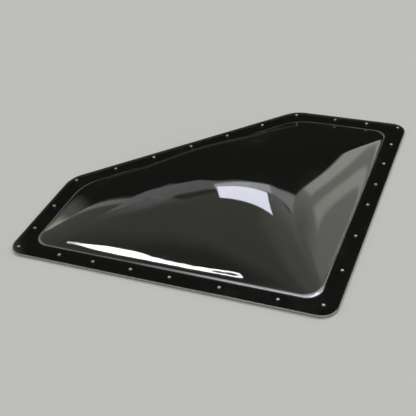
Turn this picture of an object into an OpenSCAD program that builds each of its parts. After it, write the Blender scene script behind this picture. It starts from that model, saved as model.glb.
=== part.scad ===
// Skylight dome for a caravan roof: a square plan with one corner cut off.
// The roof plane is z = 0. X runs along the front side and Y along the right side,
// and the origin is the middle of the square that the outline is cut from.

/* [Outline] */
// Length of the two full sides, front and right
side_len = 762; // [500:1:1000]
// Length of the two short sides beside the cut corner
return_len = 305; // [200:1:450]
// Outer radius of the three square corners
corner_r = 38; // [10:1:60]
// Outer radius of the two wide corners
wide_corner_r = 72; // [10:1:120]

/* [Sheet] */
// Thickness of the sheet
sheet_t = 3; // [2:0.5:6]
// Width of the flat flange, from the cut edge to the dome's foot
flange_w = 44; // [40:1:80]

/* [Dome] */
// Rise of the dome above the flange
dome_rise = 80; // [20:1:140]
// Distance of the crown from the middle of the square, along X and Y, towards the front right corner
crown_shift = 34; // [0:1:60]
// Radius that the level lines of the dome take near its crown
crown_r = 297; // [200:1:400]
// Power of the fall from crown to foot: 2 is a parabola, more is a flatter crown
fall_power = 2; // [1.6:0.1:3]
// Height over which the dome's foot curves into the flange
foot_blend = 1.8; // [1:0.1:8]
// Radius of the dome's foot at the three square corners
foot_corner_r = 34; // [10:1:80]
// Radius of the dome's foot at the two wide corners
foot_wide_r = 110; // [10:1:160]
// Growth of the corner radii of the level lines from the foot to the crown
corner_growth = 330; // [0:10:600]

/* [Screw holes] */
// Diameter of the drilled holes
hole_d = 4.8; // [4:0.1:8]
// Distance from the cut edge to the line of holes
hole_inset = 21; // [15:1:25]
// Extra step in, both ways, of the hole in the front right corner
front_right_step = 10; // [0:1:12]

/* [Screws] */
// Diameter of the pan head
head_d = 7; // [5:0.1:9]
// Height of the pan head
head_h = 2.4; // [1.5:0.1:4]
// Diameter of the plain neck under the head
neck_d = 3.9; // [2:0.1:3.9]
// Diameter of the threaded length, modelled plain
thread_d = 3.5; // [2:0.1:3.5]
// Length of the screw below the roof plane
screw_below = 13; // [8:0.5:40]
// Length of the point
point_len = 4; // [1:0.5:6]
// Width of each slot of the cross recess
recess_w = 0.8; // [0.4:0.1:1.2]
// Length of each slot of the cross recess
recess_len = 3.6; // [1:0.1:4]
// Depth of the cross recess
recess_deep = 1.3; // [0.5:0.1:1.4]

/* [Washers] */
// Outer diameter of the rubber washers
washer_d = 10; // [9:0.1:16]
// Thickness of the rubber washers
washer_t = 1.5; // [0.5:0.1:3]
// Gap round the screw's neck in the washer
washer_gap = 0.1; // [0.05:0.05:0.4]

/* [Seal tape] */
// Thickness of the tape once pressed down
tape_t = 3; // [1:0.5:8]
// Width of the tape, which is centred on the line of holes
tape_w = 28; // [22:1:34]

/* [Hidden] */
$fn = 48;

half = side_len / 2;
flange_top = tape_t + sheet_t;
head_z = flange_top + washer_t;
tape_inset = hole_inset - tape_w / 2;    // from the cut edge of the flange to the tape
neck_under = 1;       // how far the plain neck reaches past the roof plane
tip_r = 0.3;
over = 1;             // overshoot of cutting shapes

// The five corners run anticlockwise from the front left. Side k leaves corner k.
corners = [
    [-half, -half], [half, -half], [half, half], [half - return_len, half], [-half, return_len - half]
];
normals = [-90, 0, 90, 135, 180];    // outward direction of each side
side_steps = [10, 10, 4, 8, 4];      // mesh steps along each side's straight length
arc_steps = 6;                       // mesh steps round each corner
ring_count = 18;                     // mesh rings from the dome's foot to its crown
ring_power = 1.7;                    // crowds the rings towards the foot
square_share = 0.7;                  // most of its shorter side that a square corner's arc takes
wide_share = 0.25;                   // the same for a wide corner

// Holes between two corner holes, as shares of the run from one to the other
hole_shares = [
    [0.15, 0.27, 0.40, 0.53, 0.69, 0.87],
    [0.16, 0.33, 0.50, 0.62, 0.75, 0.88],
    [0.30, 0.61],
    [1/6, 2/6, 3/6, 4/6, 5/6],
    [0.41, 0.74]
];

function unit(a) = [cos(a), sin(a)];
function corner_from(k) = k == 0 ? normals[4] - 360 : normals[k - 1];
function corner_half(k) = (normals[k] - corner_from(k)) / 2;
function is_square(k) = corner_half(k) > 40;

// Point on the bisector of corner k that lies d inside both of its sides
function inset_point(k, d) =
    corners[k] - d / cos(corner_half(k)) * unit(corner_from(k) + corner_half(k));

// One radius for the square corners and one for the wide corners, as a list of five
function corner_radii(r_square, r_wide) = [for (k = [0:4]) is_square(k) ? r_square : r_wide];

// Closed outline, d inside the cut edge, with an arc at each corner and steps along each side
function arc_point(k, d, r, i) =
    inset_point(k, d + r) + r * unit(corner_from(k) + 2 * corner_half(k) * i / arc_steps);
function outline(d, radii) = [
    for (k = [0:4])
        let (
            next = (k + 1) % 5,
            from = arc_point(k, d, radii[k], arc_steps),
            to = arc_point(next, d, radii[next], 0)
        )
        for (i = [0:arc_steps + side_steps[k] - 1])
            i <= arc_steps
                ? arc_point(k, d, radii[k], i)
                : from + (to - from) * (i - arc_steps) / side_steps[k]
];

// The dome is a stack of level rings, from the foot line (s = 1) in to the crown (s = 0).
// They start with the foot's outline, their corners grow rounder, and at the crown they are circles.
crown = [crown_shift, -crown_shift];
function side_run(k) = norm(inset_point((k + 1) % 5, flange_w) - inset_point(k, flange_w));
function most_radius(k) =
    (is_square(k) ? square_share : wide_share)
        * min(side_run(k), side_run((k + 4) % 5)) / tan(corner_half(k));
function ring_radii(s) = [
    for (k = [0:4])
        min((is_square(k) ? foot_corner_r : foot_wide_r) + corner_growth * (1 - s), most_radius(k))
];
function ring_point(p, s) =
    let (from_crown = p - crown, r = norm(from_crown))
        crown + from_crown * s * (1 + (1 - s) * (crown_r / r - 1));

// Height of a ring above the flange, with a curved foot instead of a corner
function ring_z(s) =
    let (g = 1 - pow(s, fall_power), blend = foot_blend / dome_rise)
        dome_rise * g * g * (1 + blend) / (g + blend);

// Centres of the screw holes, from the front left corner round the flange
function corner_hole(k) =
    inset_point(k, hole_inset) + (k == 1 ? [-front_right_step, front_right_step] : [0, 0]);
function side_line(k, t) =
    let (
        a = corner_hole(k),
        b = corner_hole((k + 1) % 5),
        p = a + (b - a) * t
    )
    p + unit(normals[k]) * ((corners[k] - p) * unit(normals[k]) - hole_inset);
holes = [
    for (k = [0:4])
        for (t = concat([0], hole_shares[k]))
            t == 0 ? corner_hole(k) : side_line(k, t)
];

module at_holes() {
    for (p = holes)
        translate([p[0], p[1], 0]) children();
}

// Bent sheet: flange and dome in one piece, the same height of material everywhere
module sheet() {
    edge = outline(0, corner_radii(corner_r, wide_corner_r));
    foot = outline(flange_w, ring_radii(1));
    n = len(foot);
    rings = concat(
        [[for (p = edge) [p[0], p[1], 0]]],
        [[for (p = foot) [p[0], p[1], 0]]],
        [
            for (j = [1:ring_count - 1])
                let (s = 1 - pow(j / ring_count, ring_power))
                    [
                        for (p = outline(flange_w, ring_radii(s)))
                            let (q = ring_point(p, s))
                                [q[0], q[1], ring_z(s)]
                    ]
        ]
    );
    layer = [for (ring = rings) each ring];
    count = len(layer);
    top = [for (p = layer) p + [0, 0, flange_top]];
    under = [for (p = layer) p + [0, 0, tape_t]];
    crown_top = [[crown[0], crown[1], flange_top + dome_rise]];
    crown_under = [[crown[0], crown[1], tape_t + dome_rise]];
    last = len(rings) - 1;
    cells = [for (j = [0:last - 1]) for (i = [0:n - 1]) [j * n + i, j * n + (i + 1) % n]];
    ends = [for (i = [0:n - 1]) [last * n + i, last * n + (i + 1) % n]];
    polyhedron(
        points = concat(top, under, crown_top, crown_under),
        faces = concat(
            [for (c = cells) each [[c[0], c[0] + n, c[1]], [c[1], c[0] + n, c[1] + n]]],
            [for (c = cells) each [
                [count + c[0], count + c[1], count + c[0] + n],
                [count + c[1], count + c[1] + n, count + c[0] + n]
            ]],
            [for (e = ends) [e[0], 2 * count, e[1]]],
            [for (e = ends) [count + e[0], count + e[1], 2 * count + 1]],
            [for (i = [0:n - 1])
                let (j = (i + 1) % n)
                    each [[i, j, count + i], [j, count + j, count + i]]]
        )
    );
}

module dome_shell() {
    color([0.22, 0.22, 0.2, 0.75])
        difference() {
            sheet();
            at_holes()
                translate([0, 0, tape_t - over])
                    cylinder(h = sheet_t + 2 * over, d = hole_d);
        }
}

// Pan head screw, with its axis on Z and its tip below the roof plane
module pan_screw() {
    head_r = head_d / 2;
    difference() {
        rotate_extrude()
            polygon([
                [0, head_z + head_h],
                [head_r * 0.6, head_z + head_h],
                [head_r * 0.86, head_z + head_h * 0.85],
                [head_r * 0.97, head_z + head_h * 0.6],
                [head_r, head_z + head_h * 0.3],
                [head_r, head_z],
                [neck_d / 2, head_z],
                [neck_d / 2, -neck_under],
                [thread_d / 2, -neck_under],
                [thread_d / 2, point_len - screw_below],
                [tip_r, -screw_below],
                [0, -screw_below]
            ]);
        for (a = [0, 90])
            rotate([0, 0, a])
                translate([-recess_len / 2, -recess_w / 2, head_z + head_h - recess_deep])
                    cube([recess_len, recess_w, recess_deep + over]);
    }
}

module flange_screws() {
    color([0.78, 0.78, 0.77])
        at_holes() pan_screw();
}

module sealing_washers() {
    color([0.06, 0.06, 0.06])
        at_holes()
            translate([0, 0, flange_top])
                difference() {
                    cylinder(h = washer_t, d = washer_d);
                    translate([0, 0, -over])
                        cylinder(h = washer_t + 2 * over, d = neck_d + 2 * washer_gap);
                }
}

// Band along side k, from outside the flange to the tape's inner edge
module tape_band(k) {
    a = corners[k];
    b = corners[(k + 1) % 5];
    along = (b - a) / norm(b - a) * side_len;
    out = unit(normals[k]) * side_len;
    back = unit(normals[k]) * (tape_inset + tape_w);
    polygon([a - along + out, b + along + out, b + along - back, a - along - back]);
}

// Tape along side k: it covers the corner where it starts and butts on the next tape
module seal_tape(k) {
    color([0.13, 0.13, 0.13])
        linear_extrude(height = tape_t)
            difference() {
                intersection() {
                    polygon(outline(
                        tape_inset,
                        corner_radii(max(corner_r - tape_inset, 1), max(wide_corner_r - tape_inset, 1))));
                    tape_band(k);
                }
                tape_band((k + 1) % 5);
                for (p = holes)
                    translate(p) circle(d = hole_d);
            }
}

module seal_tape_front() { seal_tape(0); }
module seal_tape_right() { seal_tape(1); }
module seal_tape_right_return() { seal_tape(2); }
module seal_tape_diagonal() { seal_tape(3); }
module seal_tape_left_return() { seal_tape(4); }

dome_shell();
flange_screws();
sealing_washers();
seal_tape_front();
seal_tape_right();
seal_tape_right_return();
seal_tape_diagonal();
seal_tape_left_return();
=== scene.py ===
import math
import random

import bmesh
import bpy
from mathutils import Matrix, Vector


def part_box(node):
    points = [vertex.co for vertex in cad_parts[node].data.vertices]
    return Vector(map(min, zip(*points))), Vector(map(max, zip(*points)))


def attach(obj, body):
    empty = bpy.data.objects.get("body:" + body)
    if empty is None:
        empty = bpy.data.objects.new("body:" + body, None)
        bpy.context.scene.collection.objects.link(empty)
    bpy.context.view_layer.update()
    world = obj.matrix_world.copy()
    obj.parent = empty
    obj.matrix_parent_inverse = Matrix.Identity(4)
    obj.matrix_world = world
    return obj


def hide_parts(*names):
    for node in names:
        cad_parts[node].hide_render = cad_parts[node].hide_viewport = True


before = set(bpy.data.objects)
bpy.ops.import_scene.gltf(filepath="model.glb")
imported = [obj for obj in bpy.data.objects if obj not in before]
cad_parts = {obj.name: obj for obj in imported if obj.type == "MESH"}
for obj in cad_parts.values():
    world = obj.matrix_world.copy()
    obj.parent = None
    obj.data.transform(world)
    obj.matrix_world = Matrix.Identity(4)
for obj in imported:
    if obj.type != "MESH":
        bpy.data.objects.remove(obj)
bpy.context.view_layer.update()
print("frame loaded:", len(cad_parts), "nodes")


# small helpers: meshes and objects

mergeDistance = 1e-7
levelEnough = 1e-6


def putInScene(name, bm, materials):
    mesh = bpy.data.meshes.new(name)
    bm.to_mesh(mesh)
    bm.free()
    for material in materials:
        mesh.materials.append(material)
    piece = bpy.data.objects.new(name, mesh)
    bpy.context.scene.collection.objects.link(piece)
    return piece


def smoothShade(bm, sharpAngle):
    limit = math.radians(sharpAngle)
    for face in bm.faces:
        face.smooth = True
    for edge in bm.edges:
        edge.smooth = edge.calc_face_angle(0) < limit


def cutAway(piece, cutter):
    # boolean difference, baked into the piece's mesh
    cut = piece.modifiers.new("cut", "BOOLEAN")
    cut.operation = "DIFFERENCE"
    cut.solver = "EXACT"
    cut.object = cutter
    cut.material_mode = "INDEX"
    graph = bpy.context.evaluated_depsgraph_get()
    cleaned = bpy.data.meshes.new_from_object(piece.evaluated_get(graph))
    piece.modifiers.remove(cut)
    piece.data = cleaned
    bpy.data.objects.remove(cutter)


def finishPiece(piece, slotName, *nodeNames):
    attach(piece, "root")
    if nodeNames:
        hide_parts(*nodeNames)
    print("made", piece.name, len(piece.data.polygons), "faces")


# small helpers: materials

def newMaterial(name):
    material = bpy.data.materials.new(name)
    material.use_nodes = True
    return material, material.node_tree, material.node_tree.nodes["Principled BSDF"]


def addNode(tree, kind, **settings):
    node = tree.nodes.new(kind)
    for key, value in settings.items():
        setattr(node, key, value)
    return node


def noiseOn(tree, scale, detail=3.0, roughness=0.5, stretch=(1, 1, 1)):
    # noise that sits on the piece, through Object coordinates
    coords = addNode(tree, "ShaderNodeTexCoord")
    mapping = addNode(tree, "ShaderNodeMapping")
    mapping.inputs["Scale"].default_value = stretch
    noise = addNode(tree, "ShaderNodeTexNoise")
    noise.inputs["Scale"].default_value = scale
    noise.inputs["Detail"].default_value = detail
    noise.inputs["Roughness"].default_value = roughness
    tree.links.new(coords.outputs["Object"], mapping.inputs["Vector"])
    tree.links.new(mapping.outputs["Vector"], noise.inputs["Vector"])
    return noise.outputs["Fac"]


def remap(tree, value, fromLow, fromHigh, toLow, toHigh, smooth=True):
    node = addNode(tree, "ShaderNodeMapRange")
    node.interpolation_type = "SMOOTHSTEP" if smooth else "LINEAR"
    sockets = ("From Min", "From Max", "To Min", "To Max")
    for name, number in zip(sockets, (fromLow, fromHigh, toLow, toHigh)):
        node.inputs[name].default_value = number
    tree.links.new(value, node.inputs["Value"])
    return node.outputs["Result"]


def maths(tree, operation, *values):
    node = addNode(tree, "ShaderNodeMath", operation=operation)
    for place, value in enumerate(values):
        if isinstance(value, (int, float)):
            node.inputs[place].default_value = value
        else:
            tree.links.new(value, node.inputs[place])
    return node.outputs["Value"]


def mixColours(tree, share, first, second):
    node = addNode(tree, "ShaderNodeMix", data_type="RGBA")
    tree.links.new(share, node.inputs["Factor"])
    for place, colour in ((6, first), (7, second)):
        if isinstance(colour, (tuple, list)):
            node.inputs[place].default_value = (*colour, 1)
        else:
            tree.links.new(colour, node.inputs[place])
    return node.outputs[2]


def pattern(tree, noise, span, result=(0.0, 1.0)):
    # noise, with the span of it that counts turned into the span of the result
    return remap(tree, noiseOn(tree, *noise), *span, *result)


def bumpInto(tree, shader, height, strength, distance):
    node = addNode(tree, "ShaderNodeBump")
    node.inputs["Strength"].default_value = strength
    node.inputs["Distance"].default_value = distance
    tree.links.new(height, node.inputs["Height"])
    tree.links.new(node.outputs["Normal"], shader.inputs["Normal"])


# outline of the sheet, shared by the pieces

outline = {
    "side": 0.762,             # the two full sides
    "shortSide": 0.305,        # the two sides beside the cut corner
    "squareRadius": 0.038,
    "wideRadius": 0.072,
    "holeInset": 0.021,
    "frontRightStep": 0.010,   # extra step in of the hole in the front right corner
}
halfSide = outline["side"] / 2
corners = [
    Vector((-halfSide, -halfSide)),
    Vector((halfSide, -halfSide)),
    Vector((halfSide, halfSide)),
    Vector((halfSide - outline["shortSide"], halfSide)),
    Vector((-halfSide, outline["shortSide"] - halfSide)),
]
sideAngles = [-90, 0, 90, 135, 180]      # which way each side faces; side k leaves corner k


def heading(degrees):
    return Vector((math.cos(math.radians(degrees)), math.sin(math.radians(degrees))))


def halfTurn(k):
    before = sideAngles[k - 1] if k else sideAngles[4] - 360
    return (sideAngles[k] - before) / 2


def isSquare(k):
    # three corners are square; the two beside the cut are wide
    return halfTurn(k) > 40


def insideCorner(k, inset):
    turn = halfTurn(k)
    return corners[k] - heading(sideAngles[k] - turn) * inset / math.cos(math.radians(turn))


def outlinePoints(inset, radii, arcSteps, sideSteps):
    # the outline that far inside the cut edge, with each corner rounded by its own radius
    def arcPoint(k, step):
        centre = insideCorner(k, inset + radii[k])
        start = sideAngles[k] - 2 * halfTurn(k)
        return centre + heading(start + 2 * halfTurn(k) * step / arcSteps) * radii[k]

    points = []
    for k in range(5):
        points += [arcPoint(k, step) for step in range(arcSteps + 1)]
        start = arcPoint(k, arcSteps)
        end = arcPoint((k + 1) % 5, 0)
        points += [start.lerp(end, step / sideSteps[k]) for step in range(1, sideSteps[k])]
    return points


# screw positions

holeShares = [
    [0.15, 0.27, 0.40, 0.53, 0.69, 0.87],
    [0.16, 0.33, 0.50, 0.62, 0.75, 0.88],
    [0.30, 0.61],
    [1 / 6, 2 / 6, 3 / 6, 4 / 6, 5 / 6],
    [0.41, 0.74],
]


def cornerHole(k):
    step = outline["frontRightStep"] if k == 1 else 0
    return insideCorner(k, outline["holeInset"]) + Vector((-step, step))


holes = []
for side in range(5):
    first = cornerHole(side)
    last = cornerHole((side + 1) % 5)
    holes.append(first)
    for share in holeShares[side]:
        spot = first.lerp(last, share)
        towards = heading(sideAngles[side])
        holes.append(spot + towards * ((corners[side] - spot).dot(towards) - outline["holeInset"]))
print("screw positions:", len(holes))


# materials

# a noise is (scale, detail, roughness, stretch); a pattern is a noise, its span that counts, its result
sheetLook = {
    "alpha": 0.80,                 # each face of the sheet lets a fifth of the light through
    "smoke": (0.013, 0.013, 0.0115),
    "dustAndHighlight": (0.060, 0.058, 0.051),
    # colour of the painted highlight along the dome's foot
    "footHighlight": (0.26, 0.26, 0.265),
    # colour of the bluish painted reflection along the front right part of the foot
    "cornerHighlight": (0.72, 0.72, 0.80),
    "ior": 1.58,
    "gloss": 0.72,
    "haze": ((7.0, 5.0, 0.6), (0.52, 0.80), (0.0, 0.35)),
    "specks": ((900.0, 2.0, 0.7), (0.70, 0.80), (0.0, 0.5)),
    "patches": ((25.0, 3.0, 0.6), (0.30, 0.60), (0.55, 1.0)),
    "thinLine": (0.5, 1.0),        # how much painted foot highlight makes the thin line, none to full
    "wideLine": (0.1, 0.5),        # and the wide line of painted highlight at the front right corner
    "cornerAcross": (-0.20, 0.14),   # X from where that line begins to where it is full
    "cornerAlong": (-0.31, -0.28),   # Y from where it is full to where it ends
    "smudges": ((11.0, 6.0, 0.62), (0.45, 0.78), (0.010, 0.034)),
    "hairlines": ((60.0, 2.0, 0.5, (1, 14, 1)), (0.66, 0.75), (0.0, 0.012)),
    "waves": (9.0, 1.0, 0.4),
    "waveBump": (0.03, 0.0012),
}


def smokedSheet():
    material, tree, shader = newMaterial("smokedSheet")
    shader.inputs["Alpha"].default_value = sheetLook["alpha"]
    shader.inputs["IOR"].default_value = sheetLook["ior"]
    shader.inputs["Specular IOR Level"].default_value = sheetLook["gloss"]
    haze = pattern(tree, *sheetLook["haze"])
    specks = pattern(tree, *sheetLook["specks"])
    dustAndHighlightSpread = maths(tree, "MAXIMUM", haze, specks)
    dusted = mixColours(tree, dustAndHighlightSpread, sheetLook["smoke"], sheetLook["dustAndHighlight"])
    # a painted highlight: a pale line painted along the bend at the dome's foot, in patches
    atFoot = addNode(tree, "ShaderNodeAttribute", attribute_name="footHighlight").outputs["Fac"]
    patchy = pattern(tree, *sheetLook["patches"])
    thinLine = maths(tree, "MULTIPLY", remap(tree, atFoot, *sheetLook["thinLine"], 0, 1), patchy)
    # and a wider, bluish painted reflection along the low front side, towards the right corner
    place = addNode(tree, "ShaderNodeSeparateXYZ")
    tree.links.new(addNode(tree, "ShaderNodeTexCoord").outputs["Object"], place.inputs["Vector"])
    rightwards = remap(tree, place.outputs["X"], *sheetLook["cornerAcross"], 0, 1)
    frontwards = remap(tree, place.outputs["Y"], *sheetLook["cornerAlong"], 1, 0)
    corner = maths(tree, "MULTIPLY", rightwards, frontwards)
    wideLine = maths(tree, "MULTIPLY", corner, remap(tree, atFoot, *sheetLook["wideLine"], 0, 1))
    # both painted highlight lines together, each in its own colour
    paintedHighlight = maths(tree, "MAXIMUM", thinLine, wideLine)
    highlightColour = mixColours(tree, corner, sheetLook["footHighlight"], sheetLook["cornerHighlight"])
    tree.links.new(mixColours(tree, paintedHighlight, dusted, highlightColour), shader.inputs["Base Color"])
    smudges = pattern(tree, *sheetLook["smudges"])
    hairlines = pattern(tree, *sheetLook["hairlines"])
    tree.links.new(maths(tree, "ADD", smudges, hairlines), shader.inputs["Roughness"])
    # the slow waves that forming leaves in a sheet
    bumpInto(tree, shader, noiseOn(tree, *sheetLook["waves"]), *sheetLook["waveBump"])
    return material


sawnGrain = (420.0, 3.0, 0.6, (1, 1, 0.25))
drilledRings = (300.0, 2.0, 0.5, (0.2, 0.2, 6))
# tint and roughness are patterns, grain is the noise behind the bump, bump is its strength and depth
wornLooks = {
    "sawnEdge": {
        "alpha": 0.92,
        "tint": (sawnGrain, (0.35, 0.70)),
        "dark": (0.42, 0.43, 0.42),
        "pale": (0.66, 0.67, 0.66),
        "roughness": (sawnGrain, (0.3, 0.7), (0.28, 0.5)),
        "grain": sawnGrain,
        "bump": (0.4, 0.0002),
    },
    "drilledWall": {
        "tint": (drilledRings, (0.35, 0.70)),
        "dark": (0.50, 0.50, 0.49),
        "pale": (0.72, 0.72, 0.71),
        "roughness": (drilledRings, (0.3, 0.7), (0.4, 0.4)),
        "grain": drilledRings,
        "bump": (0.4, 0.0001),
    },
    "stainless": {
        "metallic": 1.0,
        "tint": ((240.0, 3.0, 0.6), (0.35, 0.70)),
        "dark": (0.50, 0.50, 0.49),
        "pale": (0.64, 0.63, 0.61),
        "roughness": ((700.0, 3.0, 0.6), (0.3, 0.7), (0.24, 0.42)),
        "grain": (1500.0, 2.0, 0.5),
        "bump": (0.15, 0.00005),
    },
    "washerRubber": {
        "tint": ((320.0, 4.0, 0.6), (0.35, 0.75)),
        "dark": (0.012, 0.012, 0.013),
        "pale": (0.030, 0.030, 0.031),
        "roughness": ((500.0, 3.0, 0.6), (0.3, 0.7), (0.55, 0.78)),
        "grain": (1800.0, 2.0, 0.6),
        "bump": (0.35, 0.0001),
    },
    "butylTape": {
        "tint": ((60.0, 5.0, 0.65), (0.30, 0.75)),
        "dark": (0.010, 0.010, 0.010),
        "pale": (0.028, 0.027, 0.026),
        "roughness": ((140.0, 4.0, 0.6), (0.3, 0.7), (0.48, 0.75)),
        "grain": (180.0, 3.0, 0.6),
        "bump": (0.5, 0.0006),
    },
}


def wornMaterial(name):
    look = wornLooks[name]
    material, tree, shader = newMaterial(name)
    shader.inputs["Alpha"].default_value = look.get("alpha", 1.0)
    shader.inputs["Metallic"].default_value = look.get("metallic", 0.0)
    tint = mixColours(tree, pattern(tree, *look["tint"]), look["dark"], look["pale"])
    tree.links.new(tint, shader.inputs["Base Color"])
    tree.links.new(pattern(tree, *look["roughness"]), shader.inputs["Roughness"])
    bumpInto(tree, shader, noiseOn(tree, *look["grain"]), *look["bump"])
    return material


sheetMaterial = smokedSheet()
edgeMaterial = wornMaterial("sawnEdge")
holeMaterial = wornMaterial("drilledWall")
steelMaterial = wornMaterial("stainless")
rubberMaterial = wornMaterial("washerRubber")
butylMaterial = wornMaterial("butylTape")
print("materials ready")


# the bent sheet: flange and dome

sheet = {
    "thick": 0.003,
    "flange": 0.044,          # from the cut edge to the dome's foot
    "rise": 0.080,
    "crownShift": 0.034,      # crown from the middle, towards the front right corner
    "crownRadius": 0.297,
    "fallPower": 2.0,
    "footBlend": 0.0018,
    "footSquareRadius": 0.034,
    "footWideRadius": 0.110,
    "cornerGrowth": 0.330,
    "squareShare": 0.7,       # the most of a side that the rounding of a square corner takes
    "wideShare": 0.25,        # and of a wide corner
    "holeRadius": 0.0024,
    "holeSteps": 32,
    "rings": 64,
    "ringPower": 1.7,         # crowds the rings towards the foot
    "arcSteps": 16,
    "sideSteps": [44, 44, 16, 32, 16],
    "guard": 0.0015,          # loop inside the cut edge that keeps the flange flat
    "highlightReach": 0.0014,      # how far the painted highlight in the bend spreads onto the flange
    # how strong the painted highlight is on the first rings of the dome, from the foot up
    "highlightRings": [1.0, 1.0, 1.0, 0.8, 0.5, 0.3, 0.1],
    "edgeRound": 0.0006,
    "sharpAngle": 35,
}
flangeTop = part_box("sealing_washers")[0].z
crown = Vector((sheet["crownShift"], -sheet["crownShift"]))


def ringRadii(reach):
    # the corners grow rounder from the foot (reach 1) to the crown (reach 0)
    ends = [insideCorner(k, sheet["flange"]) for k in range(5)]
    runs = [(ends[(k + 1) % 5] - ends[k]).length for k in range(5)]
    radii = []
    for k in range(5):
        share = sheet["squareShare"] if isSquare(k) else sheet["wideShare"]
        most = share * min(runs[k], runs[k - 1]) / math.tan(math.radians(halfTurn(k)))
        atFoot = sheet["footSquareRadius"] if isSquare(k) else sheet["footWideRadius"]
        radii.append(min(atFoot + sheet["cornerGrowth"] * (1 - reach), most))
    return radii


def ringPoints(reach, steps):
    # one level line of the dome; they turn into circles on the way to the crown
    fall = 1 - reach ** sheet["fallPower"]
    blend = sheet["footBlend"] / sheet["rise"]
    height = flangeTop + sheet["rise"] * fall * fall * (1 + blend) / (fall + blend)
    ring = []
    for spot in outlinePoints(sheet["flange"], ringRadii(reach), *steps):
        out = spot - crown
        across = crown + out * reach * (1 + (1 - reach) * (sheet["crownRadius"] / out.length - 1))
        ring.append((across.x, across.y, height))
    return ring


def nextLoop(bm, loop, places):
    # pulls a new loop of edges out of the last one and sets it down at the given places
    count = len(loop)
    edges = [bm.edges.get((loop[i], loop[(i + 1) % count])) for i in range(count)]
    made = set(bmesh.ops.extrude_edge_only(bm, edges=edges)["geom"])
    following = [next(e.other_vert(v) for e in v.link_edges if e.other_vert(v) in made) for v in loop]
    for vert, place in zip(following, places):
        vert.co = place
    return following


def makeSheet():
    bm = bmesh.new()
    # this layer marks where the painted highlight along the dome's foot goes
    dustAndHighlight = bm.verts.layers.float.new("footHighlight")
    steps = (sheet["arcSteps"], sheet["sideSteps"])
    cutRadii = [outline["squareRadius"] if isSquare(k) else outline["wideRadius"] for k in range(5)]
    loop = [bm.verts.new((*p, flangeTop)) for p in outlinePoints(0, cutRadii, *steps)]
    for i in range(len(loop)):
        bm.edges.new((loop[i - 1], loop[i]))
    guard = sheet["guard"]
    guardRadii = [r - guard for r in cutRadii]
    loop = nextLoop(bm, loop, [(*p, flangeTop) for p in outlinePoints(guard, guardRadii, *steps)])
    # the flange loop where the painted highlight starts, just outside the foot
    dustAndHighlightSpread = sheet["highlightReach"]
    highlightRadii = [r + dustAndHighlightSpread for r in ringRadii(1)]
    places = outlinePoints(sheet["flange"] - dustAndHighlightSpread, highlightRadii, *steps)
    loop = nextLoop(bm, loop, [(*p, flangeTop) for p in places])
    for ring in range(sheet["rings"]):
        loop = nextLoop(bm, loop, ringPoints(1 - (ring / sheet["rings"]) ** sheet["ringPower"], steps))
        for vert in loop:
            vert[dustAndHighlight] = sheet["highlightRings"][ring] if ring < len(sheet["highlightRings"]) else 0
    top = Vector((crown.x, crown.y, flangeTop + sheet["rise"]))
    bmesh.ops.pointmerge(bm, verts=nextLoop(bm, loop, [top] * len(loop)), merge_co=top)
    # the underside is the same skin, one sheet's thickness lower
    made = bmesh.ops.extrude_face_region(bm, geom=bm.faces[:], use_keep_orig=True)
    lower = [g for g in made["geom"] if isinstance(g, bmesh.types.BMVert)]
    bmesh.ops.translate(bm, verts=lower, vec=(0, 0, -sheet["thick"]))
    bmesh.ops.recalc_face_normals(bm, faces=bm.faces)
    rim = set()
    for face in bm.faces:
        if abs(face.normal.z) < 0.01:
            face.material_index = 1
            rim |= {e for e in face.edges if abs(e.verts[0].co.z - e.verts[1].co.z) < levelEnough}
    made = bmesh.ops.bevel(
        bm, geom=list(rim), offset=sheet["edgeRound"], offset_type="OFFSET", segments=2, profile=0.5,
        affect="EDGES", material=-1)
    for face in made["faces"]:
        face.material_index = 1
    piece = putInScene("domeSheet", bm, [sheetMaterial, edgeMaterial, holeMaterial])

    drill = bmesh.new()
    for spot in holes:
        middle = Matrix.Translation((spot.x, spot.y, flangeTop - sheet["thick"] / 2))
        bmesh.ops.create_cone(
            drill, cap_ends=True, segments=sheet["holeSteps"], radius1=sheet["holeRadius"],
            radius2=sheet["holeRadius"], depth=sheet["thick"] * 3, matrix=middle)
    for face in drill.faces:
        face.material_index = 2
    cutAway(piece, putInScene("drill", drill, [sheetMaterial, edgeMaterial, holeMaterial]))

    bm = bmesh.new()
    bm.from_mesh(piece.data)
    smoothShade(bm, sheet["sharpAngle"])
    bm.to_mesh(piece.data)
    bm.free()
    finishPiece(piece, "smoked_sheet", "dome_shell")


makeSheet()


# flange screws

screw = {
    "headRadius": 0.0035,
    "neckRadius": 0.00195,
    "threadRadius": 0.00175,
    "rootRadius": 0.00130,
    "pitch": 0.0013,
    "point": 0.004,
    # the head's dome: share of its radius, share of its height down from the top
    "headCurve": ((0.50, 0.0), (0.72, 0.035), (0.86, 0.13), (0.94, 0.27), (0.985, 0.45), (1.0, 0.65)),
    "headBevel": 0.00015,
    "neckEnd": -0.0010,
    "threadStart": -0.0012,
    "valleyShare": 0.55,      # of the pitch, along the root
    "crestShare": 0.80,       # where the crest stands
    "slotLength": 0.0036,
    "slotWidth": 0.0008,
    "slotDepth": 0.0013,
    "slotFloor": (0.55, 0.75),  # length and width at the bottom, as shares of the top
    "slotOver": 0.0004,
    "steps": 28,
    "sharpAngle": 40,
    "seed": 7,
}


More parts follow.
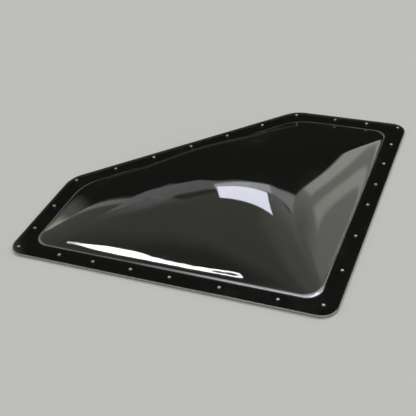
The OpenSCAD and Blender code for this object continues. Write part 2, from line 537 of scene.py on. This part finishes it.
def makeScrews():
    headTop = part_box("flange_screws")[1].z
    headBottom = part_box("sealing_washers")[1].z
    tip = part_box("flange_screws")[0].z
    headHeight = headTop - headBottom
    radius = screw["headRadius"]
    profile = [(0, headTop)]
    for share, drop in screw["headCurve"]:
        profile.append((radius * share, headTop - headHeight * drop))
    bevel = screw["headBevel"]
    profile += [(radius, headBottom + bevel), (radius - bevel, headBottom)]
    profile += [(screw["neckRadius"], headBottom), (screw["neckRadius"], screw["neckEnd"])]
    level = screw["threadStart"]
    while level - screw["pitch"] > tip + screw["point"]:
        profile += [
            (screw["rootRadius"], level),
            (screw["rootRadius"], level - screw["pitch"] * screw["valleyShare"]),
            (screw["threadRadius"], level - screw["pitch"] * screw["crestShare"]),
        ]
        level -= screw["pitch"]
    profile += [(screw["rootRadius"], level), (screw["rootRadius"], tip + screw["point"]), (0, tip)]
    bm = bmesh.new()
    verts = [bm.verts.new((x, 0, z)) for x, z in profile]
    edges = [bm.edges.new(pair) for pair in zip(verts, verts[1:])]
    bmesh.ops.spin(
        bm, geom=verts + edges, cent=(0, 0, 0), axis=(0, 0, 1), angle=math.tau, steps=screw["steps"],
        use_merge=True)
    bmesh.ops.remove_doubles(bm, verts=bm.verts, dist=mergeDistance)
    bmesh.ops.recalc_face_normals(bm, faces=bm.faces)
    one = putInScene("oneScrew", bm, [steelMaterial])

    # the cross recess is two tapered slots
    for turn in (0, 90):
        cross = bmesh.new()
        for vert in bmesh.ops.create_cube(cross, size=1)["verts"]:
            deep = vert.co.z < 0
            vert.co.x *= screw["slotLength"] * (screw["slotFloor"][0] if deep else 1.0)
            vert.co.y *= screw["slotWidth"] * (screw["slotFloor"][1] if deep else 1.0)
            vert.co.z = headTop - screw["slotDepth"] if deep else headTop + screw["slotOver"]
        quarter = Matrix.Rotation(math.radians(turn), 3, "Z")
        bmesh.ops.rotate(cross, verts=cross.verts, cent=(0, 0, 0), matrix=quarter)
        cutAway(one, putInScene("cross", cross, [steelMaterial]))

    random.seed(screw["seed"])
    bm = bmesh.new()
    for spot in holes:
        start = len(bm.verts)
        bm.from_mesh(one.data)
        bm.verts.ensure_lookup_table()
        turn = Matrix.Rotation(random.uniform(0, math.tau), 4, "Z")
        placed = Matrix.Translation((spot.x, spot.y, 0)) @ turn
        bmesh.ops.transform(bm, matrix=placed, verts=bm.verts[start:])
    bpy.data.objects.remove(one)
    smoothShade(bm, screw["sharpAngle"])
    finishPiece(putInScene("panScrews", bm, [steelMaterial]), "stainless", "flange_screws")


makeScrews()


# rubber washers

washer = {
    "outerRadius": 0.0050,
    "innerRadius": 0.00205,
    "roundOff": 0.00035,
    "steps": 36,
    "sharpAngle": 50,
}


def makeWashers():
    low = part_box("sealing_washers")[0].z
    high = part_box("sealing_washers")[1].z
    bm = bmesh.new()
    for spot in holes:
        profile = [
            bm.verts.new((spot.x + radius, spot.y, height))
            for radius, height in (
                (washer["innerRadius"], low), (washer["outerRadius"], low),
                (washer["outerRadius"], high), (washer["innerRadius"], high))
        ]
        bm.faces.new(profile)
        bmesh.ops.bevel(
            bm, geom=profile, offset=washer["roundOff"], offset_type="OFFSET", segments=3, profile=0.5,
            affect="VERTICES", material=-1)
        # the rounded section is the last face with more than four corners that looks along Y
        section = [f for f in bm.faces if abs(f.normal.y) > 0.99 and len(f.verts) > 4][-1]
        ring = list(section.verts) + list(section.edges)
        bmesh.ops.delete(bm, geom=[section], context="FACES_ONLY")
        bmesh.ops.spin(
            bm, geom=ring, cent=(spot.x, spot.y, 0), axis=(0, 0, 1), angle=math.tau,
            steps=washer["steps"], use_merge=True)
    bmesh.ops.remove_doubles(bm, verts=bm.verts, dist=mergeDistance)
    bmesh.ops.recalc_face_normals(bm, faces=bm.faces)
    smoothShade(bm, washer["sharpAngle"])
    finishPiece(putInScene("rubberWashers", bm, [rubberMaterial]), "washer_rubber", "sealing_washers")


makeWashers()


# seal tape: the CAD strips with their own material

for name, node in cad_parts.items():
    if name.startswith("seal_tape"):
        node.data.materials.clear()
        node.data.materials.append(butylMaterial)
print("tape has its material")


# floor

floorLook = {
    "size": 60.0,
    "colour": (0.88, 0.87, 0.90),
    "roughness": 0.85,
}


def makeFloor():
    bm = bmesh.new()
    bmesh.ops.create_grid(bm, x_segments=1, y_segments=1, size=floorLook["size"] / 2)
    material, tree, shader = newMaterial("paleFloor")
    shader.inputs["Base Color"].default_value = (*floorLook["colour"], 1)
    shader.inputs["Roughness"].default_value = floorLook["roughness"]
    floor = putInScene("floor", bm, [material])
    floor.visible_glossy = False       # the sheet mirrors the room, not the floor


makeFloor()


# light: a soft room, given by direction

room = {
    "ceiling": (0.42, 0.42, 0.37),
    "below": (0.05, 0.05, 0.05),
    "horizon": 3,              # half the height of the change from below to ceiling, in degrees
    # fields of light: colour, middle azimuth, half width, middle elevation, half height and
    # softness, all in degrees
    "fields": {
        "darkEnd": ((0.15, 0.15, 0.135), 197, 25, 70, 30, 13),
        "paleEnd": ((0.66, 0.66, 0.60), 70, 24, 62, 18, 9),
        "glow": ((0.95, 0.97, 0.97), 108, 34, 46, 6, 4),
        "gap": ((0.20, 0.20, 0.19), 129, 8, 51.8, 1.6, 1),
        "curtain": ((1.30, 1.30, 1.19), 62, 26, 27, 15, 5),
        "curtainTop": ((0.80, 0.80, 0.73), 60, 15, 47, 6, 3),
        "widePleat": ((2.40, 2.40, 2.20), 77, 2.2, 26, 11, 0.8),
        "slimPleat": ((2.30, 2.30, 2.10), 69.8, 1.7, 28, 10, 0.8),
        "backdrop": ((0.010, 0.010, 0.011), 108, 29.1, 14, 22, 0.8),
        "backdropTop": ((0.010, 0.010, 0.011), 105, 26.1, 36, 10, 0.8),
        "jamb": ((1.15, 1.12, 1.02), 138.1, 0.7, 31, 15, 0.4),
        "jambFoot": ((1.90, 1.76, 1.50), 139.4, 0.8, 13.5, 3, 0.6),
    },
    # bright panels: colour, one end (azimuth, elevation), other end, half width, softness
    "panels": {
        "haloStart": ((0.95, 0.97, 0.97), (139.3, 35.9), (119.8, 48.8), 3.0, 0.6),
        "halo": ((3.60, 3.65, 3.80), (121.0, 49.5), (100.0, 48.2), 2.0, 0.6),
        "haloBend": ((3.20, 3.25, 3.40), (100.5, 48.3), (90.0, 45.4), 2.0, 0.6),
        "haloEnd": ((1.70, 1.75, 1.75), (90.5, 45.5), (78.0, 42.4), 2.0, 0.6),
        "window": ((9.6, 9.8, 11.0), (121, 53.2), (90.5, 52.2), 3.6, 0.3),
    },
    # one slim bent lamp as a row of strips: one end, other end, half width
    "lamp": {
        "colour": (26.0, 26.0, 25.0),
        "softness": 0.03,
        "strips": [
            ((171.08, 59.90), (176.13, 62.44), 0.50),
            ((176.09, 62.42), (187.50, 65.74), 0.50),
            ((187.66, 65.78), (191.11, 66.89), 0.50),
            ((191.32, 66.97), (193.71, 68.17), 0.50),
            ((193.92, 68.33), (194.78, 69.72), 0.50),
            ((193.63, 69.81), (192.48, 71.34), 0.09),
            ((192.37, 71.32), (189.44, 72.81), 0.05),
            ((189.42, 72.80), (184.84, 74.30), 0.04),
        ],
    },
    "wall": (0.66, 0.66, 0.655),
}


def direction(azimuth, elevation):
    flat = heading(azimuth) * math.cos(math.radians(elevation))
    return Vector((flat.x, flat.y, math.sin(math.radians(elevation))))


def makeRoom():
    world = bpy.data.worlds.new("room")
    bpy.context.scene.world = world
    world.use_nodes = True
    tree = world.node_tree
    ways = addNode(tree, "ShaderNodeTexCoord").outputs["Generated"]
    split = addNode(tree, "ShaderNodeSeparateXYZ")
    tree.links.new(ways, split.inputs["Vector"])
    azimuth = maths(tree, "DEGREES", maths(tree, "ARCTAN2", split.outputs["Y"], split.outputs["X"]))
    elevation = maths(tree, "DEGREES", maths(tree, "ARCSINE", split.outputs["Z"]))

    def offLine(line):
        node = addNode(tree, "ShaderNodeVectorMath", operation="DOT_PRODUCT")
        node.inputs[1].default_value = line
        tree.links.new(ways, node.inputs[0])
        return node.outputs["Value"]

    def within(value, halfSize, soft):
        return remap(tree, maths(tree, "ABSOLUTE", value), halfSize - soft, halfSize + soft, 1, 0)

    upwards = remap(tree, elevation, -room["horizon"], room["horizon"], 0, 1)
    colour = mixColours(tree, upwards, room["below"], room["ceiling"])
    for tint, middle, halfWidth, height, halfHeight, soft in room["fields"].values():
        aside = maths(tree, "WRAP", maths(tree, "SUBTRACT", azimuth, middle), 180, -180)
        above = maths(tree, "SUBTRACT", elevation, height)
        inside = maths(tree, "MULTIPLY", within(aside, halfWidth, soft), within(above, halfHeight, soft))
        colour = mixColours(tree, inside, colour, tint)
    lamp = room["lamp"]
    strips = [(lamp["colour"], *strip, lamp["softness"]) for strip in lamp["strips"]]
    for tint, oneEnd, otherEnd, halfWidth, soft in [*room["panels"].values(), *strips]:
        oneEnd = direction(*oneEnd)
        otherEnd = direction(*otherEnd)
        middle = (oneEnd + otherEnd).normalized()
        across = oneEnd.cross(otherEnd).normalized()
        along = across.cross(middle)
        side = maths(tree, "DEGREES", maths(tree, "ARCSINE", offLine(across)))
        length = maths(tree, "DEGREES", maths(tree, "ARCTAN2", offLine(along), offLine(middle)))
        halfLength = math.degrees(oneEnd.angle(otherEnd)) / 2
        inside = maths(tree, "MULTIPLY", within(side, halfWidth, soft), within(length, halfLength, soft))
        colour = mixColours(tree, inside, colour, tint)
    # behind the floor the camera sees a plain pale wall; the room is for light and reflections
    seen = addNode(tree, "ShaderNodeLightPath").outputs["Is Camera Ray"]
    shown = mixColours(tree, seen, colour, room["wall"])
    tree.links.new(shown, tree.nodes["Background"].inputs["Color"])


makeRoom()
print("room ready")


# camera

view = {
    "place": (0.66039, -1.53769, 1.15771),
    "right": (0.928540, 0.363293, -0.076361),
    "down": (0.158191, -0.573298, -0.803931),
    "ahead": (-0.335840, 0.734403, -0.589800),
    "lens": 71.565,
    "sensor": 36,
}


def makeCamera():
    data = bpy.data.cameras.new("camera")
    data.sensor_width = view["sensor"]
    data.lens = view["lens"]
    camera = bpy.data.objects.new("camera", data)
    bpy.context.scene.collection.objects.link(camera)
    right = Vector(view["right"])
    up = -Vector(view["down"])
    back = -Vector(view["ahead"])
    turn = Matrix((right, up, back)).transposed().to_4x4()
    camera.matrix_world = Matrix.Translation(view["place"]) @ turn
    bpy.context.scene.camera = camera


makeCamera()
bpy.context.scene.view_settings.view_transform = "Standard"
